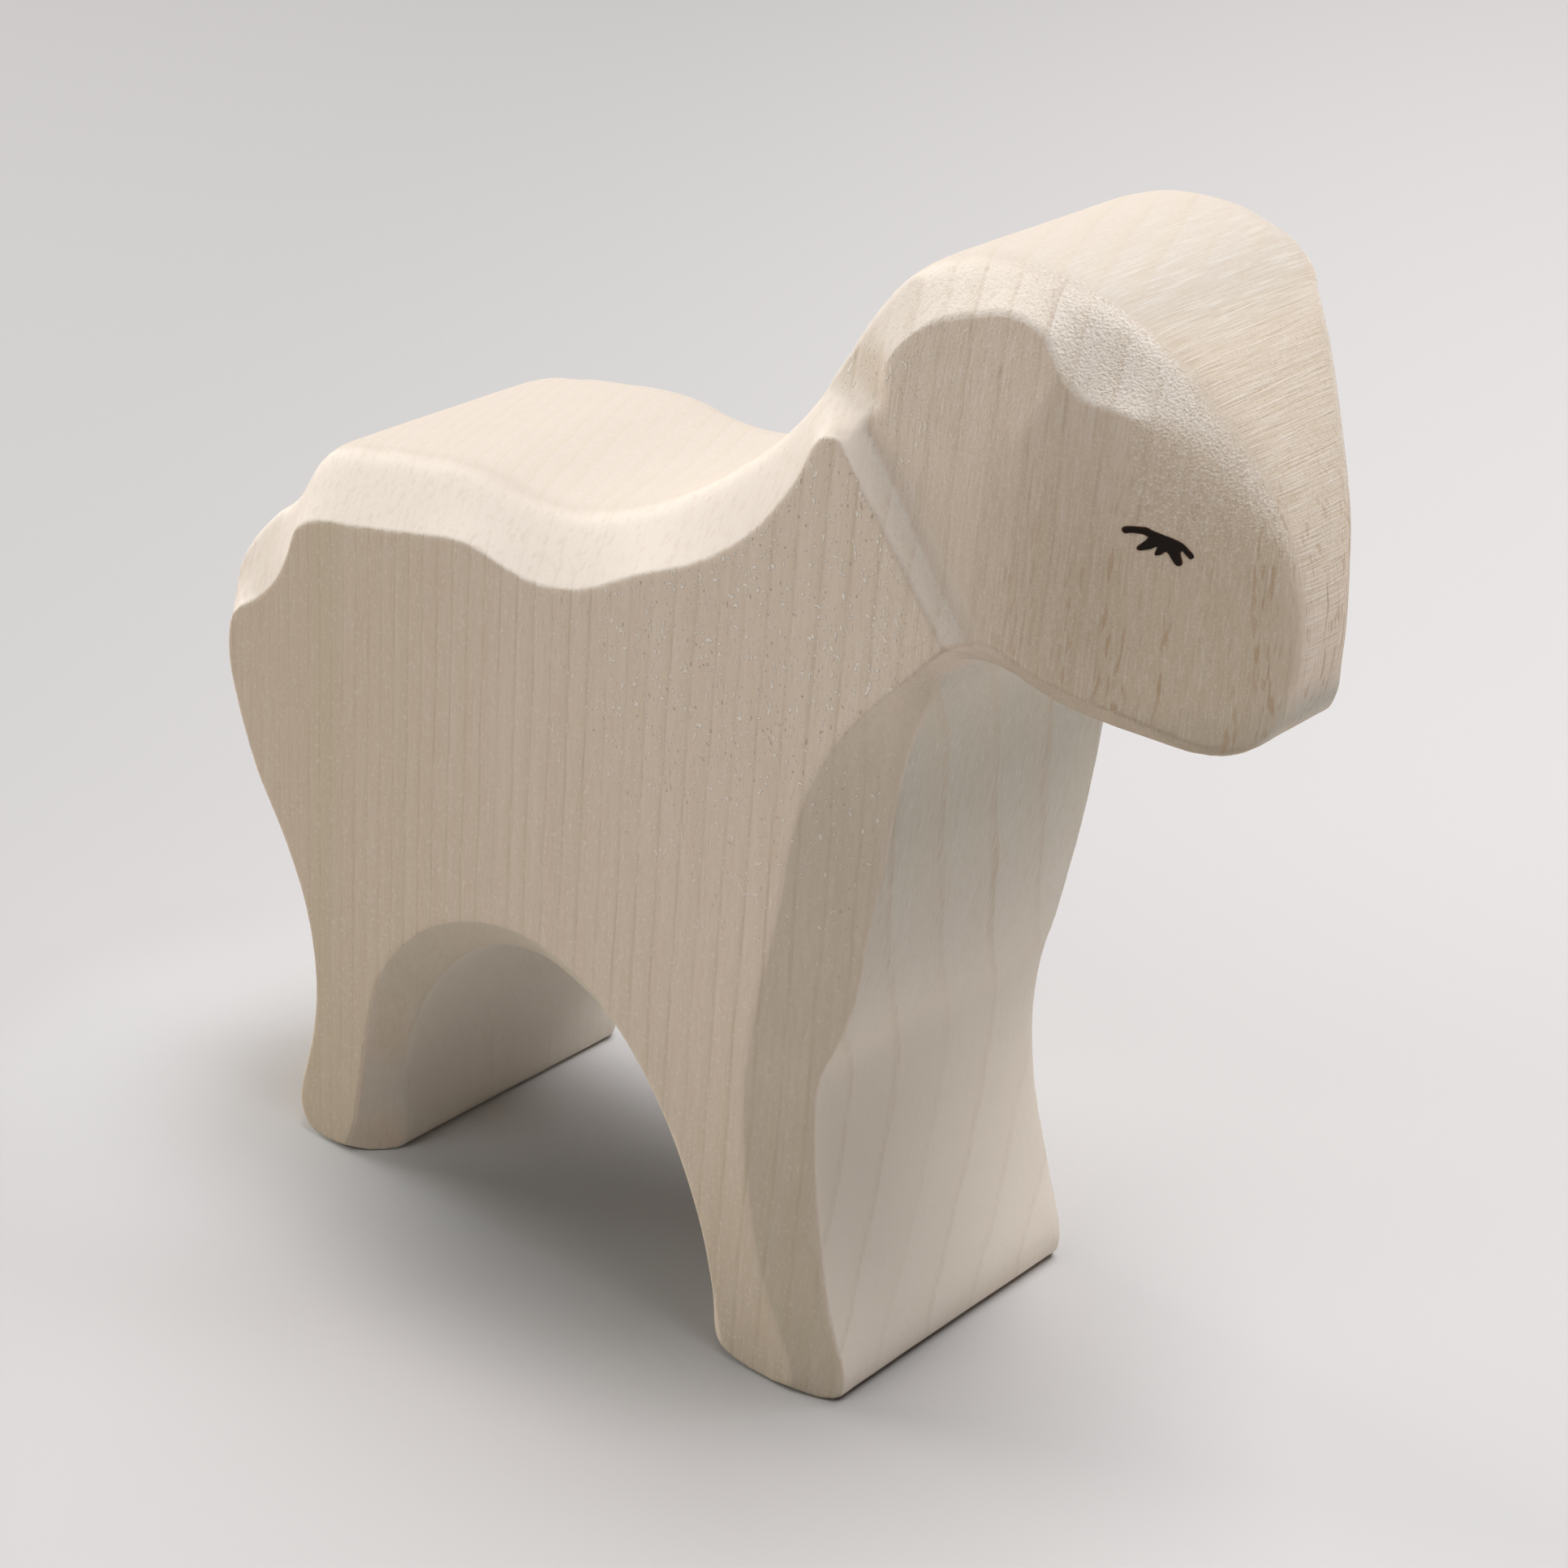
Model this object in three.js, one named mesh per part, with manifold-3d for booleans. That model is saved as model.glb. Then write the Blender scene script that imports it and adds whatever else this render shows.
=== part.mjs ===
// A wooden sheep figurine, sawn from one thick plank of pale wood.
// Wide sanded bevels run round the sawn outline on both flanks, the sides of the head are
// sanded back behind a slanted step at the neck and drawn in towards the nose, and a closed
// eye with lashes is inked on each side of the head.
//
// Millimetres. +X points forward (nose), +Y to the animal's left and +Z up.
// The origin lies on the floor, under the middle of the figure.

import * as THREE from 'three';
import { mergeVertices } from 'three/addons/utils/BufferGeometryUtils.js';
import Module from 'manifold-3d';

const wasm = await Module();
wasm.setup();

// The plank and its sanded edges
const PLANK_THICKNESS = 32;
const HALF = PLANK_THICKNESS / 2;
const RIM_SOFTENING = 0.6;
const FLANK_SOFTENING = 0.2;
const LARGEST_SOFTENED_SHARE = 0.4;
const EDGE_STEPS = 2;
const BEVEL_STEPS = 3;
const STEPS_PER_LANDMARK = 3;

// The step at the neck: a slanted wall, as deep as the head is sanded back there
const NECK_TOP = [21.6, 82.6];
const NECK_BOTTOM = [30.3, 71.0];
const NECK_WALL_DRAFT = 0.8;

// Half the width of the head, seen from above: [x, half width], from the neck to the nose.
// The left cheek is sanded back a little more than the right one.
const RIGHT_HALF_WIDTHS = [
  [12, 14.4], [22, 14.4], [27, 14.6], [32, 14.8], [36, 14.5], [39, 13.9], [41.5, 13.1],
  [43.5, 12.0], [45, 10.6], [46.5, 8.9], [48.5, 6.7], [50, 5.0], [51.2, 3.6], [52, 2.4], [52.5, 0],
];
const LEFT_HALF_WIDTHS = [
  [12, 14.4], [22, 14.4], [27, 14.6], [32, 14.7], [36, 13.9], [41, 11.9], [44, 10.2],
  [46.5, 8.2], [48.5, 6.5], [50, 5.0], [51.2, 3.6], [52, 2.4], [52.5, 0],
];
const HEAD_PLAN_STEPS = 36;
const HEAD_CUT_BOTTOM = 55;
const HEAD_CUT_TOP = 110;

// High up, the sides of the head lean in towards the crown, from this half width and height
const LEAN_HALF_WIDTH = 14.7;
const LEAN_START = 85;
const LEAN_ANGLE = 0.09;

// A cutting block that reaches past the figure
const BLOCK = 120;

// The inked eye, drawn on the side of the head: [x, z] along the top of the lid, then back along
// the lashes and the underside of the lid
const INK_THICKNESS = 0.25;
const INK_CLEARANCE = 0.08;
const EYE_OUTLINE = [
  [42.9, 81.85], [43.1, 82.05], [43.75, 82.05], [44.3, 82.0], [44.55, 81.75], [45.2, 81.35], [45.8, 80.95],
  [46.1, 80.6], [46.6, 79.75], [46.35, 79.5], [46.0, 80.15], [45.95, 80.2],
  [45.9, 80.0], [46.05, 79.3], [45.95, 79.1], [45.7, 79.15], [45.5, 79.65], [45.25, 80.25],
  [45.0, 79.95], [44.65, 79.95], [44.85, 80.65],
  [44.5, 80.4], [43.85, 80.3], [43.75, 80.55], [44.25, 81.05], [44.35, 81.25], [44.3, 81.35],
  [44.1, 81.5], [43.45, 81.6], [43.05, 81.5],
];

// Landmarks of the outline, from the heel along the floor to the nose and back over the rump.
// Each is [rim x, rim z, face x, face z, bevel depth]: the sawn rim's place, the place on the
// flank where the bevel ends, and how far the bevel's rim edge lies in from the flank.
// A sixth number is the left bevel's size as a share of the right one, where it is smaller.
// In front of the neck the flank is the plank's own face, before the head is sanded back.
const HIND_FOOT = [
  [-47.4, 2.4, -44.6, 3.5, 3.0],
  [-46.4, 0.4, -44.0, 1.3, 1.9],
  [-44.8, 0.0, -42.8, 0.5, 1.0],
  [-37.0, 0.0, -39.0, 0.6, 1.6, 0.5],
  [-35.0, 0.3, -38.2, 1.4, 3.8, 0.2],
  [-34.4, 2.4, -37.0, 4.0, 4.6, 0.2],
];
const BELLY_ARCH = [
  [-34.2, 7.2, -35.8, 9.0, 4.2, 0.6],
  [-32.6, 12.2, -34.6, 14.8, 3.5],
  [-29.6, 18.6, -32.3, 21.0, 3.5],
  [-24.8, 24.0, -27.0, 27.0, 3.5],
  [-20.0, 26.9, -20.6, 30.5, 3.5],
  [-15.0, 27.8, -14.2, 31.8, 3.5],
  [-10.4, 27.0, -8.4, 30.8, 3.2],
  [-6.0, 25.2, -3.8, 28.3, 2.8],
  [-2.0, 21.4, 0.3, 24.0, 2.6],
  [1.6, 15.8, 3.9, 18.5, 2.5],
  [4.2, 9.2, 6.4, 12.2, 2.5],
  [5.6, 3.6, 7.9, 5.6, 2.3],
];
const FRONT_FOOT = [
  [6.4, 0.5, 8.9, 1.5, 1.6],
  [8.2, 0.0, 10.2, 0.5, 0.8],
  [18.2, 0.0, 15.8, 0.5, 0.8],
  [20.3, 0.4, 16.4, 1.3, 1.4],
  [20.9, 2.4, 15.8, 3.8, 1.6],
];
const CHEST = [
  [19.2, 8.8, 13.2, 9.4, 1.5],
  [17.7, 17.0, 11.6, 17.0, 1.9],
  [17.3, 24.0, 11.1, 24.4, 1.9],
  [17.9, 29.4, 11.6, 30.2, 1.7],
  [19.4, 33.2, 12.6, 35.0, 2.3],
  [20.7, 37.2, 13.8, 39.8, 2.7],
  [22.1, 43.7, 15.2, 45.4, 2.5],
  [23.5, 50.2, 16.4, 51.0, 2.8],
  [24.7, 56.6, 19.0, 57.2, 2.8],
  [26.2, 61.5, 22.2, 62.0, 2.8],
  [28.2, 65.8, 26.6, 66.4, 2.7],
];
const THROAT_AND_JAW = [
  [29.7, 68.5, 30.7, 70.4, 2.8],
  [32.4, 68.4, 33.4, 72.6, 4.2],
  [37.6, 66.8, 38.7, 71.7, 4.8],
  [43.4, 65.5, 43.6, 72.1, 6.6],
  [47.8, 64.3, 44.6, 73.6, 9.4],
  [49.9, 65.1, 43.1, 75.1, 11.4],
  [51.2, 67.6, 42.6, 76.0, 12.6],
];
const RIGHT_FACE = [
  [51.8, 71.8, 42.6, 76.8, 13.0],
  [51.7, 76.2, 42.4, 78.2, 12.9],
  [50.8, 80.8, 42.4, 80.3, 12.3],
  [49.0, 85.4, 43.2, 83.3, 11.2],
  [46.6, 90.0, 43.1, 85.6, 9.2],
  [44.4, 93.2, 41.7, 86.4, 7.4],
  [41.7, 95.6, 38.9, 87.1, 5.7],
  [38.1, 97.4, 36.6, 92.2, 5.2],
  [34.6, 98.2, 33.8, 93.2, 5.2],
];
const LEFT_FACE = [
  [51.8, 71.8, 42.6, 76.8, 13.0],
  [51.7, 76.2, 42.4, 78.2, 12.9],
  [50.8, 80.8, 42.2, 80.2, 12.3],
  [49.0, 85.4, 41.8, 82.4, 11.2],
  [46.6, 90.0, 40.6, 83.4, 9.2],
  [44.4, 93.2, 38.4, 82.2, 7.4],
  [41.7, 95.6, 35.6, 82.0, 5.7],
  [38.1, 97.4, 35.1, 90.1, 5.2],
  [34.6, 98.2, 33.6, 92.9, 5.2],
];
const CROWN_AND_NAPE = [
  [30.4, 98.2, 31.6, 92.2, 5.3],
  [26.6, 97.2, 28.8, 91.0, 5.1],
  [23.6, 95.6, 27.5, 89.4, 4.6],
  [20.6, 92.2, 26.4, 88.2, 4.2],
  [18.0, 88.4, 27.6, 85.2, 4.0],
  [16.8, 86.7, 24.4, 83.8, 4.0],
  [15.4, 84.7, 19.4, 83.7, 4.0],
  [12.2, 81.2, 17.0, 80.0, 4.0],
  [7.4, 77.4, 13.4, 75.5, 4.0],
  [2.4, 74.2, 8.4, 71.5, 4.0],
];
const BACK = [
  [-4.0, 71.2, 0.6, 67.9, 4.0],
  [-9.6, 69.7, -6.2, 64.7, 4.0],
  [-14.6, 69.6, -12.0, 64.1, 4.0],
  [-20.0, 70.5, -18.6, 65.4, 4.0],
  [-26.5, 70.0, -25.2, 64.4, 4.0],
  [-33.0, 69.0, -32.0, 63.2, 4.0],
];
const RUMP = [
  [-38.2, 67.9, -37.6, 62.2, 4.0],
  [-40.7, 66.0, -39.9, 60.9, 3.7],
  [-42.9, 62.7, -41.1, 58.4, 3.5],
  [-46.3, 59.9, -42.7, 55.8, 3.4],
  [-50.4, 55.5, -45.4, 53.2, 3.0],
  [-52.7, 50.6, -49.0, 50.8, 3.4],
  [-53.2, 45.6, -50.1, 46.4, 3.8],
  [-52.4, 40.4, -49.3, 41.8, 3.8],
];
const HIND_LEG_BACK = [
  [-50.4, 34.6, -47.3, 36.0, 3.8],
  [-47.3, 29.0, -44.2, 30.4, 3.8],
  [-44.9, 22.6, -41.8, 24.0, 3.8],
  [-44.1, 15.6, -41.1, 17.0, 3.8],
  [-45.2, 9.4, -42.3, 10.6, 3.6],
];
const outlineWith = (face) => [
  ...HIND_FOOT, ...BELLY_ARCH, ...FRONT_FOOT, ...CHEST, ...THROAT_AND_JAW,
  ...face, ...CROWN_AND_NAPE, ...BACK, ...RUMP, ...HIND_LEG_BACK,
];
const RIGHT_OUTLINE = outlineWith(RIGHT_FACE);
const LEFT_OUTLINE = outlineWith(LEFT_FACE);

const woodMaterial = new THREE.MeshStandardMaterial({ color: 0xe2d0b6, roughness: 0.72, metalness: 0 });
const inkMaterial = new THREE.MeshStandardMaterial({ color: 0x1c1512, roughness: 0.55, metalness: 0 });

// Solids for joining and cutting

const MERGE_DISTANCE = 1e-4;

function withSharedVertices(geometry) {
  const bare = new THREE.BufferGeometry();
  bare.setAttribute('position', geometry.getAttribute('position'));
  bare.setIndex(geometry.getIndex());
  return mergeVertices(bare, MERGE_DISTANCE);
}

function solidFrom(geometry) {
  const shared = withSharedVertices(geometry);
  return new wasm.Manifold(new wasm.Mesh({
    numProp: 3,
    vertProperties: new Float32Array(shared.getAttribute('position').array),
    triVerts: new Uint32Array(shared.getIndex().array),
  }));
}

function geometryFrom(solid) {
  const { numProp, vertProperties, triVerts } = solid.getMesh();
  const places = [];
  for (let i = 0; i < vertProperties.length; i += numProp) {
    places.push(vertProperties[i], vertProperties[i + 1], vertProperties[i + 2]);
  }
  const geometry = new THREE.BufferGeometry();
  geometry.setAttribute('position', new THREE.Float32BufferAttribute(places, 3));
  geometry.setIndex(Array.from(triVerts));
  geometry.computeVertexNormals();
  return geometry;
}

// The plank's outline with its bevels

function roundedCorner(before, corner, after) {
  const bend = new THREE.QuadraticBezierCurve3(before, corner, after);
  return bend.getPoints(EDGE_STEPS);
}

// One section of the left half, from the middle of the rim out to the flank
function halfSection(rim, face) {
  const bevel = face.clone().sub(rim);
  const alongBevel = (softening) => {
    const share = Math.min(LARGEST_SOFTENED_SHARE, softening / bevel.length());
    return bevel.clone().multiplyScalar(share);
  };
  const alongFlank = new THREE.Vector3(bevel.x, 0, bevel.z).setLength(FLANK_SOFTENING);
  const alongRim = new THREE.Vector3(0, -RIM_SOFTENING, 0);
  const bevelStart = rim.clone().add(alongBevel(RIM_SOFTENING));
  const bevelEnd = face.clone().sub(alongBevel(FLANK_SOFTENING));
  return [
    ...roundedCorner(rim.clone().add(alongRim), rim, bevelStart),
    ...new THREE.LineCurve3(bevelStart, bevelEnd).getPoints(BEVEL_STEPS).slice(1, -1),
    ...roundedCorner(bevelEnd, face, face.clone().add(alongFlank)),
  ];
}

function mirrored(point) {
  return new THREE.Vector3(point.x, -point.y, point.z);
}

// Half sections all along an outline, with a bevel of the given share at each landmark
function halfSections(outline, shares) {
  const rims = [];
  const faces = [];
  outline.forEach(([rimX, rimZ, faceX, faceZ, depth], i) => {
    const rim = new THREE.Vector3(rimX, HALF - depth * shares[i], rimZ);
    const reach = new THREE.Vector3(faceX - rimX, 0, faceZ - rimZ).multiplyScalar(shares[i]);
    rims.push(rim);
    faces.push(rim.clone().add(reach).setY(HALF));
  });
  const rimCurve = new THREE.CatmullRomCurve3(rims, true, 'centripetal');
  const faceCurve = new THREE.CatmullRomCurve3(faces, true, 'centripetal');
  const count = outline.length * STEPS_PER_LANDMARK;
  return Array.from({ length: count }, (_, i) => {
    const rim = rimCurve.getPoint(i / count);
    rim.z = Math.max(rim.z, 0);
    return halfSection(rim, faceCurve.getPoint(i / count));
  });
}

function outlineSections() {
  const left = halfSections(LEFT_OUTLINE, LEFT_OUTLINE.map(([, , , , , share = 1]) => share));
  const right = halfSections(RIGHT_OUTLINE, RIGHT_OUTLINE.map(() => 1));
  return left.map((section, i) => [...right[i].map(mirrored).reverse(), ...section]);
}

function bevelledPlank() {
  const sections = outlineSections();
  const across = sections[0].length;
  const places = sections.flat().flatMap((point) => point.toArray());
  const triangles = [];
  sections.forEach((section, i) => {
    const here = i * across;
    const next = ((i + 1) % sections.length) * across;
    for (let j = 0; j < across - 1; j += 1) {
      triangles.push(here + j, next + j + 1, next + j);
      triangles.push(here + j, here + j + 1, next + j + 1);
    }
  });
  const flankTriangles = (edge) => {
    const flank = sections.map((section) => new THREE.Vector2(section[edge].x, section[edge].z));
    return THREE.ShapeUtils.triangulateShape(flank, []);
  };
  flankTriangles(0).forEach(([a, b, c]) => {
    triangles.push(a * across, b * across, c * across);
  });
  flankTriangles(across - 1).forEach(([a, b, c]) => {
    triangles.push((c + 1) * across - 1, (b + 1) * across - 1, (a + 1) * across - 1);
  });
  const geometry = new THREE.BufferGeometry();
  geometry.setAttribute('position', new THREE.Float32BufferAttribute(places, 3));
  geometry.setIndex(triangles);
  return geometry;
}

// The head, sanded back on both sides

function planPoints(halfWidths) {
  const plan = new THREE.SplineCurve(halfWidths.map(([x, half]) => new THREE.Vector2(x, half)));
  return plan.getPoints(HEAD_PLAN_STEPS);
}

// The head's plan on one side (side is +1 on the left, -1 on the right)
const leftPlan = planPoints(LEFT_HALF_WIDTHS);
const rightPlan = planPoints(RIGHT_HALF_WIDTHS);
const planOn = (side) => (side > 0 ? leftPlan : rightPlan);

function headHalfWidth(x, side) {
  const plan = planOn(side);
  const next = plan.findIndex((point) => point.x > x);
  const [from, to] = [plan[next - 1], plan[next]];
  return THREE.MathUtils.mapLinear(x, from.x, to.x, from.y, to.y);
}

// Everything outside the head's width on one side
function outsideHeadWidth(side) {
  const shape = new THREE.Shape();
  const plan = planOn(side);
  const reach = PLANK_THICKNESS;
  plan.forEach(({ x, y }, i) => {
    if (i === 0) shape.moveTo(x, side * y);
    else shape.lineTo(x, side * y);
  });
  shape.lineTo(plan.at(-1).x + reach, 0);
  shape.lineTo(plan.at(-1).x + reach, side * reach);
  shape.lineTo(plan[0].x, side * reach);
  const options = { depth: HEAD_CUT_TOP - HEAD_CUT_BOTTOM, bevelEnabled: false };
  return new THREE.ExtrudeGeometry(shape, options).translate(0, 0, HEAD_CUT_BOTTOM);
}

// Everything outside the lean of one side of the head
function outsideLean(side) {
  return new THREE.BoxGeometry(BLOCK, BLOCK, BLOCK)
    .translate(0, side * BLOCK / 2, 0)
    .rotateX(side * LEAN_ANGLE)
    .translate(0, side * LEAN_HALF_WIDTH, LEAN_START);
}

// A block in front of the neck wall. The wall leans forward as it goes deeper.
function blockBeforeNeck(side) {
  const run = NECK_BOTTOM[0] - NECK_TOP[0];
  const drop = NECK_TOP[1] - NECK_BOTTOM[1];
  return new THREE.BoxGeometry(BLOCK, BLOCK, BLOCK)
    .translate(BLOCK / 2, 0, 0)
    .rotateZ(side * NECK_WALL_DRAFT)
    .rotateY(-Math.atan2(run, drop))
    .translate(NECK_TOP[0], side * HALF, NECK_TOP[1]);
}

function carvedBody() {
  let body = solidFrom(bevelledPlank());
  [1, -1].forEach((side) => {
    const outside = solidFrom(outsideHeadWidth(side)).add(solidFrom(outsideLean(side)));
    body = body.subtract(outside.intersect(solidFrom(blockBeforeNeck(side))));
  });
  return geometryFrom(body);
}

// The inked eyes

// The outline as a flat slip of ink, stood up and bent onto the curved side of the head
function inkedEye(side) {
  const shape = new THREE.Shape(EYE_OUTLINE.map(([x, z]) => new THREE.Vector2(x, z)));
  const geometry = new THREE.ExtrudeGeometry(shape, { depth: INK_THICKNESS, bevelEnabled: false });
  const place = geometry.getAttribute('position');
  for (let i = 0; i < place.count; i += 1) {
    const [x, z, lift] = [place.getX(i), place.getY(i), place.getZ(i)];
    place.setXYZ(i, x, side * (headHalfWidth(x, side) + INK_CLEARANCE + lift), z);
  }
  const slip = withSharedVertices(geometry);
  const facesPointIn = side > 0;
  if (facesPointIn) {
    slip.setIndex(Array.from(slip.getIndex().array).reverse());
  }
  slip.computeVertexNormals();
  return slip;
}

// The figure

const figure = new THREE.Group();

function addPiece(name, geometry, material) {
  const piece = new THREE.Mesh(geometry, material);
  piece.name = name;
  figure.add(piece);
}

addPiece('carved_body', carvedBody(), woodMaterial);
addPiece('right_eye', inkedEye(-1), inkMaterial);
addPiece('left_eye', inkedEye(1), inkMaterial);

const box = new THREE.Box3().setFromObject(figure);
figure.position.x = -(box.min.x + box.max.x) / 2;

export default figure;
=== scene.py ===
"""The looks of a wooden sheep figurine: bare, hand-sanded pale wood and inked sleeping eyes.

Metres, in the part's own frame: +X forward to the nose, +Y to the animal's left, +Z up.
The patterns of the wood and of the floor are written in millimetres.
"""

import math
from types import SimpleNamespace

import bmesh
import bpy
import numpy as np
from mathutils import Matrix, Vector, geometry, noise
from mathutils.bvhtree import BVHTree

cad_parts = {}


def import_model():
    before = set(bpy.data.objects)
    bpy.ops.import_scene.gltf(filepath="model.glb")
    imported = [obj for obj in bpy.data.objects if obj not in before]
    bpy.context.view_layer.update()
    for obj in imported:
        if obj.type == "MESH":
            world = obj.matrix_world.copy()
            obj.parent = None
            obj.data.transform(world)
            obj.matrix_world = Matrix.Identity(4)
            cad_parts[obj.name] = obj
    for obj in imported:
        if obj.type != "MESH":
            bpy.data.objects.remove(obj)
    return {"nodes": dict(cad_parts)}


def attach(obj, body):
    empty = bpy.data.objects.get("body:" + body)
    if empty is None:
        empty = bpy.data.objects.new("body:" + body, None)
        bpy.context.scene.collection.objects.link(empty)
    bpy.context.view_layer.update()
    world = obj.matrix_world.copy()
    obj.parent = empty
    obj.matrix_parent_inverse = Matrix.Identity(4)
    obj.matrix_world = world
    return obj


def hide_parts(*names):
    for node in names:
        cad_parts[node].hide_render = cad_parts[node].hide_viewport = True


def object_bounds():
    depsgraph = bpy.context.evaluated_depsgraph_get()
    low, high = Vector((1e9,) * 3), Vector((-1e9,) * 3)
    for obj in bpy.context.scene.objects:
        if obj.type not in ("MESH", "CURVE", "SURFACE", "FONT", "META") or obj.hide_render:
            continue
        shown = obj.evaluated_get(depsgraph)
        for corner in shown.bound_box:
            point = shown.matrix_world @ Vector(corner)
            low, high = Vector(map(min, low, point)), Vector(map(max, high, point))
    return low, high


MM = 0.001
BODY = "root"

# The sanded body's mesh: an even one, cut finer where the sides turn sharply
VOXEL = 0.89 * MM
REFINEMENTS = 2
SHARP_BEND = 0.01
SIDE_FACING = 0.5

# Smoothing pulls hardest within a face and least across a crease
SMOOTHING_PASSES = 8
SMOOTHING_SHARE = 0.5
CREASE_BEND = 0.006
CREASE_PULL = 0.15

# Edges high up that face neither far sideways nor down are rounded more
SOFT_PULL = 0.8
SOFT_HEIGHT = 60 * MM
SOFT_SIDE = 0.84
SOFT_DROP = -0.2

# Hand sanding left waves, given by length and depth, and a smaller share on the planed flanks
SANDING_WAVES = ((12 * MM, 0.09 * MM), (5 * MM, 0.03 * MM))
PLANED_FACING = 0.9
PLANED_BLEND = 0.08
PLANED_SHARE = 0.15

# The inked eyes: thin slips, partly sunk into the wood, with blunt corners and a brown fringe
INK_PROUD = 0.04 * MM
INK_SUNK = 0.06 * MM
INK_GRID = 0.1 * MM
INK_FRINGE = 0.16 * MM
CORNER_CUT = 0.22
CORNER_CUTS = 2
CAP_FACING = 0.5
MERGE_GAP = 0.001 * MM
INSIDE_ONLY = 1

# The grain: rings that cross the plank at an angle and widen towards the front, on fibres
# that lean a little
RING_ANGLE = math.radians(25)
RING_SPACING = 2.23
RING_GROWTH = 0.021
RING_START = 0.55
LEAN_FORWARD = 0.093

# The step at the neck, where the sides of the head are cut back: x and z on either flank
NECK_TOP = Vector((22.3, 82.6))
NECK_BOTTOM = Vector((31.0, 71.0))

# The saw's scores fan out from a middle in the head, and their spacing holds at this radius
SCORES_X = 33
SCORES_Z = 78
SCORES_RADIUS = 18

# The streak on the crown leans back as it rises from this x
STREAK_X = 60.5
STREAK_LEAN = 0.24

# The colours of the wood and the ink
PALE_WOOD = (0.855, 0.715, 0.585)
DEEP_WOOD = (0.785, 0.635, 0.495)
# Painted light: a paler wood colour where light falls, on bevels that face up and in a band at the
# foot of the neck's wall
PAINTED_LIGHT_WOOD = (0.95, 0.86, 0.76)
RING_BROWN = (0.56, 0.42, 0.29)
OLIVE_WOOD = (0.66, 0.56, 0.39)
FLECK_BROWN = (0.45, 0.25, 0.11)
LINE_BROWN = (0.40, 0.28, 0.18)
TORN_PALE = (0.97, 0.92, 0.85)
# Painted glints, on the flank and on the pale points of the cheek's speckle
PAINTED_GLINT = (0.97, 0.88, 0.77)
INK_BLACK = (0.014, 0.0095, 0.007)
INK_BROWN = (0.08, 0.034, 0.016)
# Painted shade on the wall of the step at the neck, a little pinker than the wood
STRIP_PAINTED_SHADE = (0.82, 0.69, 0.575)
CHEST_WOOD = (0.80, 0.76, 0.67)
# Painted light, paler and warmer, on the low chest
LOW_CHEST_PAINTED_LIGHT = (0.97, 0.85, 0.72)

# How much darker parts of the figure are than its pale base: browner at the rear, painted shade
# elsewhere, partly the wood's own tone at the cheeks, tops and face
REAR_TINT = (0.88, 0.86, 0.81)
LEG_PAINTED_SHADE = (0.92, 0.93, 0.90)
CHEEK_TONE_AND_SHADE = (0.82, 0.80, 0.74)
JAW_PAINTED_SHADE = (0.79, 0.79, 0.79)
TOP_PAINTED_SHADE = (0.84, 0.88, 0.93)
FACE_PAINTED_SHADE = (0.91, 0.915, 0.90)
THROAT_PAINTED_SHADE = (0.77, 0.79, 0.78)
BREAST_PAINTED_SHADE = (0.87, 0.89, 0.88)
ARCH_PAINTED_SHADE = (0.87, 0.91, 0.89)

# The floor: darker towards the figure's rear right, a painted gradient of light, with a painted
# shadow under the figure and a painted pool of light beside the heel, and lost in the backdrop far
# away. Each change runs between two distances.
FLOOR_REACH = 8000
FLOOR_ACROSS = (0.85, 0.52, 0.0)
FLOOR_CHANGE = (-150, 100)
FLOOR_DARK = (0.545, 0.518, 0.505)
FLOOR_PALE = (0.665, 0.63, 0.605)
GLOW_CENTRE = (-50.0, -10.0, 0.0)
GLOW_CHANGE = (40, 4)
GLOW_COLOUR = (0.81, 0.80, 0.795)
SHADE_CENTRE = (-5.5, -9.0, 0.0)
SHADE_SHAPE = (0.67, 1.0, 1.0)
SHADE_CHANGE = (28, 8)
SHADE_TINT = (0.62, 0.64, 0.645)
FLOOR_MIDDLE = (0.0, 0.0, 0.0)
FAR_CHANGE = (500, 900)

# The backdrop, a faint light from all around, and three soft lamps aimed at the figure:
# place, size, watts and colour
HORIZON_COLOUR = (0.66, 0.63, 0.61)
AMBIENT_COLOUR = (1.0, 1.0, 1.0)
AMBIENT = 0.06
LIGHTS = (
    ("overhead", Vector((0.30, 0.24, 1.28)), 0.8, 18.9, (0.97, 1.0, 1.05)),
    ("rear_fill", Vector((-1.3, -0.2, 0.42)), 0.7, 10.8, (1.0, 0.99, 0.96)),
    ("right_fill", Vector((-0.22, -0.95, 1.08)), 0.7, 3.5, (1.0, 1.0, 1.0)),
)

# The camera, where the photograph was taken from
CAMERA_PLACE = Vector((0.1666, -0.1824, 0.1641))
CAMERA_AZIMUTH = math.radians(42.07)
CAMERA_ELEVATION = math.radians(25.9)
CAMERA_LENS = 76.4
CAMERA_NEAR = 10 * MM

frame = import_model()
cad_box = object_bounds()


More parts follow.
